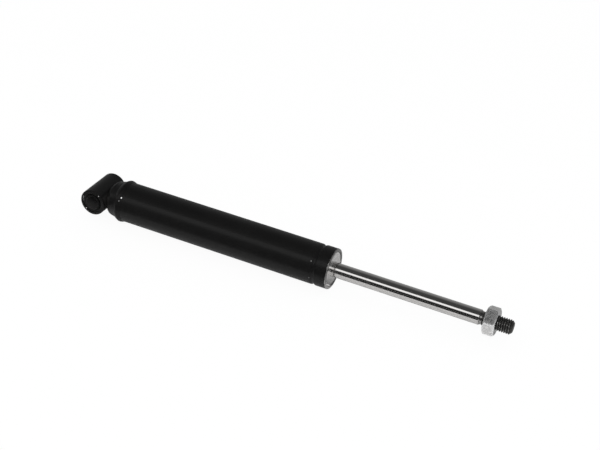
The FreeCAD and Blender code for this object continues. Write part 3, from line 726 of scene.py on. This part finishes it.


# Black paint: spots worn to bare steel that also serve as painted glints on the eye's rim, the bead and the
# tube, each with a place in mm, a radius in mm and the tone of the bare steel
CHIPS_AND_PAINTED_GLINTS = [
    ((5.08, -14.6, 6.8), 0.45, 0.60),
    ((-4.80, -14.45, -5.70), 0.50, 0.90),
    ((-7.10, -14.5, 2.9), 0.50, 0.20),
    ((-7.22, -14.3, 2.3), 0.50, 0.26),
    ((-7.35, -14.1, 1.7), 0.50, 0.32),
    ((-7.45, -13.9, 1.05), 0.50, 0.32),
    ((-7.55, -13.7, 0.4), 0.50, 0.32),
    ((-7.53, -13.75, -0.25), 0.50, 0.28),
    ((-7.50, -13.8, -0.9), 0.50, 0.24),
    ((21.2, -10.95, 8.95), 0.60, 0.75),
    ((20.3, -12.63, 7.15), 0.40, 0.20),
    ((165.45, -11.12, 8.49), 0.40, 0.22),
    ((166.17, -13.52, -3.13), 0.35, 0.16),
    ((177.3, -13.5, -3.66), 0.55, 0.30),
]
GLINT_CHIP_CORE = 0.8
GLINT_CHIP_WANDER = 0.2 * MM
# Bare lip of the tube: where it starts and is full along X, and the noise that makes it wander
LIP_FADE = (END_FACE - 0.55 * MM, END_FACE - 0.43 * MM)
LIP_NOISE_RANGE = (0.35, 0.75)
LIP_WANDER = (-0.15 * MM, 0.35 * MM)
BARE_SMOOTHER = 0.08
# Painted light in the corner between the eye and the neck, a lighter tone that lifts the shade there: where
# it comes and goes along X, aside and upwards
NECK_LIGHT_COMES = (6.0 * MM, 8.0 * MM)
NECK_LIGHT_GOES = (10.5 * MM, 12.5 * MM)
NECK_LIGHT_SIDE = (12.6 * MM, 14.0 * MM)
NECK_LIGHT_TOP = (5.0 * MM, 7.0 * MM)


def chips_and_painted_glints(tree, place, ragged):
    """The worn spots, which also serve as painted glints, as a mask, and the tone of the steel in them."""
    wander = varied(tree, ragged, -GLINT_CHIP_WANDER, GLINT_CHIP_WANDER)
    glint_chips = 0.0
    tones = 0.0
    for centre, radius, tone in CHIPS_AND_PAINTED_GLINTS:
        away = distance_from(tree, place, [MM * number for number in centre])
        edge = calculate(tree, "ADD", away, wander)
        glint_chip = falling(tree, edge, GLINT_CHIP_CORE * radius * MM, radius * MM)
        glint_chips = calculate(tree, "MAXIMUM", glint_chips, glint_chip)
        tones = calculate(tree, "MAXIMUM", tones, calculate(tree, "MULTIPLY", glint_chip, tone))
    return glint_chips, tones


def neck_painted_light(tree, axes):
    """Painted light in the corner between the eye and the neck, which lifts its shade, as a mask."""
    aside = calculate(tree, "ABSOLUTE", axes["Y"])
    along = calculate(tree, "MULTIPLY", rising(tree, axes["X"], *NECK_LIGHT_COMES),
                      falling(tree, axes["X"], *NECK_LIGHT_GOES))
    across = calculate(tree, "MULTIPLY", falling(tree, aside, *NECK_LIGHT_SIDE),
                       falling(tree, axes["Z"], *NECK_LIGHT_TOP))
    return calculate(tree, "MULTIPLY", along, across)


def black_paint():
    """Black enamel with a faint orange peel, worn to steel at the tube's rolled lip and in a few spots that
    also serve as painted glints, with painted light that lifts the shade in the corner between the eye and
    the neck.
    """
    finish, tree, shader, place = new_finish("black_paint")
    axes = axes_of(tree, place)
    peel = noise_of(tree, place, size=1.6 * MM, detail=2.0)
    cloud = noise_of(tree, place, size=14 * MM, detail=4.0)
    ragged = noise_of(tree, place, size=1.1 * MM)
    grain = noise_of(tree, place, size=0.5 * MM)
    lip_edge = calculate(tree, "ADD", axes["X"], spread(tree, ragged, *LIP_NOISE_RANGE, *LIP_WANDER))
    lip = rising(tree, lip_edge, *LIP_FADE)
    # Spots worn to bare steel, placed where they also serve as painted glints on the eye's rim, the bead
    # and the tube
    glint_chips, tones = chips_and_painted_glints(tree, place, ragged)
    bare = calculate(tree, "MAXIMUM", lip, glint_chips)
    lip_steel = blend(tree, grain, grey(0.23, 0.01), grey(0.33, 0.02))
    steel = blend(tree, glint_chips, lip_steel, tones)
    clean = blend(tree, cloud, grey(0.0045), grey(0.0062, 0.02))
    # Painted light: a lighter grey in the corner between the eye and the neck lifts the shade there
    paint = blend(tree, neck_painted_light(tree, axes), clean, grey(0.016, 0.03))
    paint_rough = varied(tree, cloud, 0.42, 0.48)
    rough = calculate(tree, "SUBTRACT", paint_rough, calculate(tree, "MULTIPLY", bare, BARE_SMOOTHER))
    set_shader(
        tree, shader,
        Base_Color=blend(tree, bare, paint, steel),
        Metallic=lip,
        Roughness=rough,
        Specular_IOR_Level=0.12,
        Coat_Weight=0.07,
        Coat_Roughness=0.05,
        Normal=bump(tree, peel, depth=0.006 * MM),
    )
    return finish


# Chrome: where it, the bare relief and the thread's worn crests fade, and the noise that wears and smears
CHROME_FADE = (CHROME_END - 0.55 * MM, CHROME_END - 0.40 * MM)
RELIEF_FADE = (THREAD_START - 0.1 * MM, THREAD_START + 0.6 * MM)
CREST_FADE = (STUD_RADIUS - 0.20 * MM, STUD_RADIUS - 0.05 * MM)
WEAR_RANGE = (0.45, 0.65)
SMEAR_RANGE = (0.45, 0.7)
SMEAR_ROUGHER = 0.10
RELIEF_SMOOTHER = 0.18


def chrome():
    """Hard chrome, ground round the rod, that stops at the stud, whose thread is dark and oily."""
    finish, tree, shader, place = new_finish("rod_chrome")
    x = axes_of(tree, place)["X"]
    stud = rising(tree, x, *CHROME_FADE)
    relief = falling(tree, x, *RELIEF_FADE)

    grind = noise_of(tree, place, size=1.0 * MM, detail=2.0, stretch=(0.12, 4, 4))
    cloud = noise_of(tree, place, size=5 * MM)
    smear = noise_of(tree, place, size=9 * MM, detail=4.0)
    plate = blend(tree, cloud, grey(0.46, 0.015), grey(0.52, 0.02))
    plate_rough = calculate(tree, "ADD", varied(tree, grind, 0.08, 0.11),
                            spread(tree, smear, *SMEAR_RANGE, 0.0, SMEAR_ROUGHER))

    oil = noise_of(tree, place, size=0.7 * MM)
    crest = rising(tree, radius_about(tree, place, "X"), *CREST_FADE)
    worn = calculate(tree, "MULTIPLY", crest, rising(tree, oil, *WEAR_RANGE))
    oiled = blend(tree, oil, grey(0.012), grey(0.045, 0.04))
    thread = blend(tree, worn, oiled, grey(0.34, 0.02))
    dark = blend(tree, relief, thread, grey(0.24, 0.02))
    dark_rough = calculate(tree, "SUBTRACT", between(tree, worn, 0.42, 0.24),
                           calculate(tree, "MULTIPLY", relief, RELIEF_SMOOTHER))
    oily = calculate(tree, "SUBTRACT", stud, calculate(tree, "MAXIMUM", worn, relief))

    shaft = calculate(tree, "SUBTRACT", 1.0, stud)
    rough = calculate(tree, "ADD", calculate(tree, "MULTIPLY", stud, dark_rough),
                      calculate(tree, "MULTIPLY", shaft, plate_rough))
    set_shader(
        tree, shader,
        Base_Color=blend(tree, stud, plate, dark),
        Metallic=between(tree, oily, 1.0, 0.55),
        Roughness=rough,
        Normal=bump(tree, grind, depth=0.0002 * MM),
    )
    return finish


# Zinc of the nut: edges that fade inwards from its ends and corners, and a darker patch on the face turned
# towards the camera
RIM_FADE = (0.5 * MM, 1.5 * MM)
CORNER_FADE = (9.1 * MM, 9.6 * MM)
PATCH_TURN = NUT_TURN + math.pi / 2
PATCH_ALONG = 3.6 * MM
PATCH_CENTRE = about_x(nut_low.x + PATCH_ALONG, NUT_WIDTH / 2, PATCH_TURN)
PATCH_FADE = (2.2 * MM, 4.8 * MM)
PATCH_WANDER = 1.2 * MM
PATCH_AT_EDGES = 0.35
PATCH_GREY_RANGE = (0.38, 0.60)
BRIGHT_RANGE = (0.32, 0.68)


def nut_edges(tree, place):
    """The nut's ends and corners, as a mask."""
    x = axes_of(tree, place)["X"]
    inside = calculate(tree, "MINIMUM", calculate(tree, "SUBTRACT", x, nut_low.x),
                       calculate(tree, "SUBTRACT", nut_high.x, x))
    corners = rising(tree, radius_about(tree, place, "X"), *CORNER_FADE)
    return calculate(tree, "MAXIMUM", falling(tree, inside, *RIM_FADE), corners)


def zinc():
    """Mottled zinc plating, rubbed bright along its edges, with a darker grey patch on the face turned
    towards the camera.
    """
    finish, tree, shader, place = new_finish("nut_zinc")
    mottle = noise_of(tree, place, size=1.6 * MM, detail=5.0)
    fine = noise_of(tree, place, size=0.35 * MM)
    edge = nut_edges(tree, place)
    away = calculate(tree, "ADD", distance_from(tree, place, PATCH_CENTRE),
                     varied(tree, mottle, -PATCH_WANDER, PATCH_WANDER))
    patch = falling(tree, away, *PATCH_FADE)
    dull = calculate(tree, "MULTIPLY", patch, between(tree, edge, 1.0, PATCH_AT_EDGES))
    patch_grey = blend(tree, rising(tree, mottle, *PATCH_GREY_RANGE), grey(0.30), grey(0.62))
    bright = blend(tree, rising(tree, mottle, *BRIGHT_RANGE), grey(0.50), grey(0.66, 0.01))
    rubbed = blend(tree, edge, bright, grey(0.70))
    set_shader(
        tree, shader,
        Base_Color=blend(tree, dull, rubbed, patch_grey),
        Metallic=1.0,
        Roughness=varied(tree, mottle, 0.31, 0.26),
        Normal=bump(tree, fine, depth=0.003 * MM, under=bump(tree, mottle, depth=0.010 * MM)),
    )
    return finish


def turned_steel():
    """The bright cover, with the rings that turning leaves."""
    finish, tree, shader, place = new_finish("cover_steel")
    radius = radius_about(tree, place, "X")
    across = add_node(tree, "ShaderNodeCombineXYZ", {"X": radius}).outputs["Vector"]
    rings = noise_of(tree, across, size=0.28 * MM, detail=2.0)
    cloud = noise_of(tree, place, size=2.2 * MM, detail=4.0)
    set_shader(
        tree, shader,
        Base_Color=blend(tree, varied(tree, cloud, 0.0, 1.0), grey(0.68, 0.01), grey(0.74, 0.015)),
        Metallic=0.82,
        Roughness=varied(tree, rings, 0.11, 0.16),
        Normal=bump(tree, rings, depth=0.0005 * MM),
    )
    return finish


# Rubber: its darkest and lightest tones, as shares of its level
RUBBER_TONES = (0.7, 1.5)


def rubber(name, level):
    """Moulded rubber with a fine matt grain and a dusty bloom."""
    finish, tree, shader, place = new_finish(name)
    grain = noise_of(tree, place, size=0.4 * MM, detail=4.0)
    bloom = noise_of(tree, place, size=4 * MM)
    darkest, lightest = (level * share for share in RUBBER_TONES)
    set_shader(
        tree, shader,
        Base_Color=blend(tree, bloom, grey(darkest), grey(lightest, 0.03)),
        Roughness=varied(tree, bloom, 0.55, 0.75),
        Specular_IOR_Level=0.12,
        Normal=bump(tree, grain, depth=0.02 * MM),
    )
    return finish


# Plain metal: its darkest and lightest tones as shares of its level, and its relief as a share of its grain
METAL_TONES = (0.8, 1.15)
METAL_RELIEF = 0.01


def plain_metal(name, level, rough, size, warmth=0.0, stretch=(1, 1, 1)):
    """A metal with a grain of one size, in its tone, roughness and surface."""
    finish, tree, shader, place = new_finish(name)
    grain = noise_of(tree, place, size, detail=4.0, stretch=stretch)
    darkest, lightest = (grey(level * share, warmth) for share in METAL_TONES)
    set_shader(
        tree, shader,
        Base_Color=blend(tree, varied(tree, grain, 0.0, 1.0), darkest, lightest),
        Metallic=1.0,
        Roughness=varied(tree, grain, *rough),
        Normal=bump(tree, grain, depth=METAL_RELIEF * size),
    )
    return finish


# Sleeve: its bore, and where the lighter grey painted into the bore, as painted light that lifts its shade,
# fades just outside the bore's surface
SLEEVE_BORE = 5.1 * MM
BORE_LIGHT_FADE = (SLEEVE_BORE + 0.02 * MM, SLEEVE_BORE + 0.10 * MM)


def satin_paint():
    """Thin black coating of the sleeve, with a lighter grey painted into the bore as painted light that
    lifts its shade.
    """
    finish, tree, shader, place = new_finish("sleeve_paint")
    grain = noise_of(tree, place, size=0.9 * MM, detail=4.0)
    bore = falling(tree, radius_about(tree, place, "Y"), *BORE_LIGHT_FADE)
    black = blend(tree, grain, grey(0.004), grey(0.007))
    # Painted light: the lighter grey in the bore lifts the shade inside it
    dull = blend(tree, grain, grey(0.028), grey(0.048, 0.02))
    set_shader(
        tree, shader,
        Base_Color=blend(tree, bore, black, dull),
        Roughness=varied(tree, grain, 0.40, 0.55),
        Specular_IOR_Level=0.04,
        Normal=bump(tree, grain, depth=0.008 * MM),
    )
    return finish


# Plastic of the piston's band: the noise that makes its specks, and its two browns
SPECK_RANGE = (0.4, 0.65)
DARK_BROWN = (0.20, 0.13, 0.07, 1)
LIGHT_BROWN = (0.38, 0.26, 0.15, 1)


def band_plastic():
    """Filled plastic of the piston's band, brown with dark specks."""
    finish, tree, shader, place = new_finish("band_plastic")
    speck = noise_of(tree, place, size=0.25 * MM)
    set_shader(
        tree, shader,
        Base_Color=blend(tree, rising(tree, speck, *SPECK_RANGE), DARK_BROWN, LIGHT_BROWN),
        Roughness=varied(tree, speck, 0.45, 0.6),
        Normal=bump(tree, speck, depth=0.005 * MM),
    )
    return finish


# One finish for each material slot of the record
FINISHES = {
    "black_paint": black_paint(),
    "sleeve_paint": satin_paint(),
    "bush_rubber": rubber("bush_rubber", level=0.016),
    "seal_rubber": rubber("seal_rubber", level=0.010),
    "cover_steel": turned_steel(),
    "rod_chrome": chrome(),
    "nut_zinc": zinc(),
    "inner_steel": plain_metal(
        "inner_steel", level=0.45, rough=(0.28, 0.42), size=0.5 * MM, stretch=(0.3, 3, 3)),
    "spring_steel": plain_metal(
        "spring_steel", level=0.36, rough=(0.22, 0.34), size=0.4 * MM, warmth=-0.03),
    "sintered_iron": plain_metal(
        "sintered_iron", level=0.22, rough=(0.5, 0.7), size=0.3 * MM, warmth=0.01),
    "bush_bronze": plain_metal(
        "bush_bronze", level=0.42, rough=(0.3, 0.45), size=0.4 * MM, warmth=0.32),
    "band_plastic": band_plastic(),
}


def coat(thing, slot):
    """Gives a thing its slot's finish as its only material."""
    thing.data.materials.clear()
    thing.data.materials.append(FINISHES[slot])


for row in frame["record"]["subparts"]:
    coat(nodes[row["node"]], row["material_slot"])
pieces = [
    make_rod(),
    make_nut(),
    make_bead(),
    make_bush(),
    make_seal(),
    make_cover(),
    make_check_spring("piston_star", "rod", "piston_check_spring"),
    make_check_spring("foot_star", "barrel", "foot_check_spring"),
]
for piece in pieces:
    coat(piece, piece["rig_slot"])

# Floor: it touches the bead and the far end of the tube, so it leans a little
FLOOR_HALF = 60.0
FLOOR_COLOUR = 0.95
FLOOR_SLOPE = (BEAD_RADIUS - TUBE_RADIUS) / (END_FACE - SEAM)
# How much of it is plain white to the camera and to mirrors; to other rays it is only pale and matt
FLOOR_SEEN_SHARE = 0.94
FLOOR_MIRROR_SHARE = 0.30


def floor_height(x):
    """Height of the floor at a place along X."""
    return -BEAD_RADIUS + (x - SEAM) * FLOOR_SLOPE


def bare_finish(name):
    """A new material with no shader yet, and its tree."""
    finish = bpy.data.materials.new(name)
    finish.use_nodes = True
    tree = finish.node_tree
    tree.nodes.remove(tree.nodes["Principled BSDF"])
    return finish, tree


def show(tree, shader):
    """Makes a shader's output the surface of its material."""
    fill(tree, tree.nodes["Material Output"].inputs["Surface"], shader)


def seen_share(tree, straight, mirrored):
    """One share for rays from the camera, one for those from a mirror or a clear body, 0 for the rest."""
    path = add_node(tree, "ShaderNodeLightPath")
    other = calculate(tree, "MAXIMUM", path.outputs["Is Glossy Ray"], path.outputs["Is Transmission Ray"])
    first = calculate(tree, "MULTIPLY", path.outputs["Is Camera Ray"], straight)
    return calculate(tree, "MAXIMUM", first, calculate(tree, "MULTIPLY", other, mirrored))


def make_floor():
    """A wide floor that stays near white where it is seen, with a faint shadow."""
    mesh = bpy.data.meshes.new("floor")
    sides = (-FLOOR_HALF, FLOOR_HALF)
    points = [(x, y, floor_height(x)) for y in sides for x in sides]
    mesh.from_pydata(points, [], [(0, 1, 3, 2)])
    floor = bpy.data.objects.new("floor", mesh)
    scene.collection.objects.link(floor)
    finish, tree = bare_finish("floor_white")
    matt = add_node(tree, "ShaderNodeBsdfDiffuse", {"Color": grey(FLOOR_COLOUR)}).outputs["BSDF"]
    glow = add_node(tree, "ShaderNodeEmission", {"Color": grey(1.0), "Strength": 1.0}).outputs["Emission"]
    share = seen_share(tree, FLOOR_SEEN_SHARE, FLOOR_MIRROR_SHARE)
    mixed = add_node(tree, "ShaderNodeMixShader", {0: share, 1: matt, 2: glow})
    show(tree, mixed.outputs["Shader"])
    mesh.materials.append(finish)


# World: white where it is seen, softer as a light
WORLD_LIGHT = 0.85


def make_world():
    """The white surroundings."""
    world = bpy.data.worlds.new("studio")
    world.use_nodes = True
    scene.world = world
    tree = world.node_tree
    background = tree.nodes["Background"]
    strength = between(tree, seen_share(tree, 1.0, 1.0), WORLD_LIGHT, 1.0)
    fill(tree, background.inputs["Strength"], strength)
    fill(tree, background.inputs["Color"], grey(1.0))


# Cards seen only in mirrors: dark ones over the object, in front and low in front, and a grey one behind
# that is darker near the object, a painted shadow of the floor for mirrors to show
CARD_REACH = 20.0
CARD_RADIUS = 5.0
CARD_STEPS = 24
CARD_FAR = 4.9
CARD_HEIGHT = floor_height(0.0) + 0.3 * MM
LOW_CARD_START = -39.0 * MM
# The back card darkens from its pale tone towards the object: a painted contact shadow that mirrors show
BACK_CARD_START = 0.5 * MM
BACK_CARD_SHADOW_END = 14.0 * MM
DARK_TONES = (0.03, 0.03)


def bent(first_degrees, last_degrees):
    """Section of a card bent about X, between two heights above the front horizon."""
    section = []
    for step in range(CARD_STEPS + 1):
        angle = math.radians(first_degrees + (last_degrees - first_degrees) * step / CARD_STEPS)
        section.append((-CARD_RADIUS * math.cos(angle), CARD_RADIUS * math.sin(angle)))
    return section


def lying(first_y, last_y):
    """Section of a card that lies just over the floor."""
    return [(first_y, CARD_HEIGHT), (last_y, CARD_HEIGHT)]


def card(name, section, places, tones):
    """A long card along X with a section of (y, z) points, and a tone at each of two places along Y."""
    mesh = bpy.data.meshes.new(name)
    points = [(x, y, z + x * FLOOR_SLOPE) for y, z in section for x in (-CARD_REACH, CARD_REACH)]
    faces = [(2 * step, 2 * step + 1, 2 * step + 3, 2 * step + 2) for step in range(len(section) - 1)]
    mesh.from_pydata(points, [], faces)
    thing = bpy.data.objects.new(name, mesh)
    scene.collection.objects.link(thing)
    thing.visible_camera = False
    thing.visible_shadow = False
    thing.visible_diffuse = False
    finish, tree = bare_finish(name)
    place = add_node(tree, "ShaderNodeTexCoord").outputs["Object"]
    tone = spread(tree, axes_of(tree, place)["Y"], *places, *tones)
    glow = add_node(tree, "ShaderNodeEmission", {"Color": grey(1.0), "Strength": tone})
    show(tree, glow.outputs["Emission"])
    mesh.materials.append(finish)


def make_cards():
    """The four cards round the set."""
    card("card_over", bent(57, 179), places=(1.0, 6.0), tones=(0.08, 0.45))
    card("card_front", bent(0.5, 28), places=(-5.0, -4.0), tones=DARK_TONES)
    low = lying(LOW_CARD_START, -CARD_FAR)
    card("card_low", low, places=(-0.5, LOW_CARD_START), tones=DARK_TONES)
    # Painted shadow: the back card is darker near the object, as the floor's shade there
    back = lying(BACK_CARD_START, CARD_FAR)
    card("card_back", back, places=(BACK_CARD_START, BACK_CARD_SHADOW_END), tones=(0.15, 0.43))


# Lamps: two small ones that mirrors don't show, and a long soft one that they do
LAMP_TARGET = Vector((0.15, 0, 0))


def lamp(name, place, size, power, size_y=None, mirrored=False):
    """A soft square or oblong lamp that faces the object."""
    data = bpy.data.lights.new(name, "AREA")
    data.energy = power
    data.size = size
    if size_y:
        data.shape = "RECTANGLE"
        data.size_y = size_y
    thing = bpy.data.objects.new(name, data)
    thing.location = place
    thing.rotation_mode = "QUATERNION"
    thing.rotation_quaternion = (LAMP_TARGET - Vector(place)).to_track_quat("-Z", "Y")
    thing.visible_camera = False
    thing.visible_glossy = mirrored
    scene.collection.objects.link(thing)


# Camera: the photograph's place and angle, with its slight roll
EYE_POINT = Vector((0.408464, -0.640117, 0.452517))
LOOK_ALONG = Vector((-0.31762988, 0.78863116, -0.52647142))
ROLL = math.radians(5.695)
SENSOR_WIDTH = 36.0
LENS = 74.35


def make_camera():
    """The scene's camera."""
    data = bpy.data.cameras.new("camera")
    data.sensor_fit = "HORIZONTAL"
    data.sensor_width = SENSOR_WIDTH
    data.lens = LENS
    camera = bpy.data.objects.new("camera", data)
    camera.location = EYE_POINT
    camera.rotation_mode = "QUATERNION"
    camera.rotation_quaternion = LOOK_ALONG.to_track_quat("-Z", "Y") @ Quaternion((0, 0, 1), ROLL)
    scene.collection.objects.link(camera)
    scene.camera = camera


make_floor()
make_world()
make_cards()
lamp("key", place=(0.7, -2.07, 2.16), size=0.14, power=18)
lamp("kicker", place=(0.6, -2.70, 1.17), size=0.12, power=4)
lamp("long_soft", place=(-0.2, -2.2, 2.0), size=4.0, power=9, size_y=0.9, mirrored=True)
make_camera()
scene.view_settings.view_transform = "Standard"
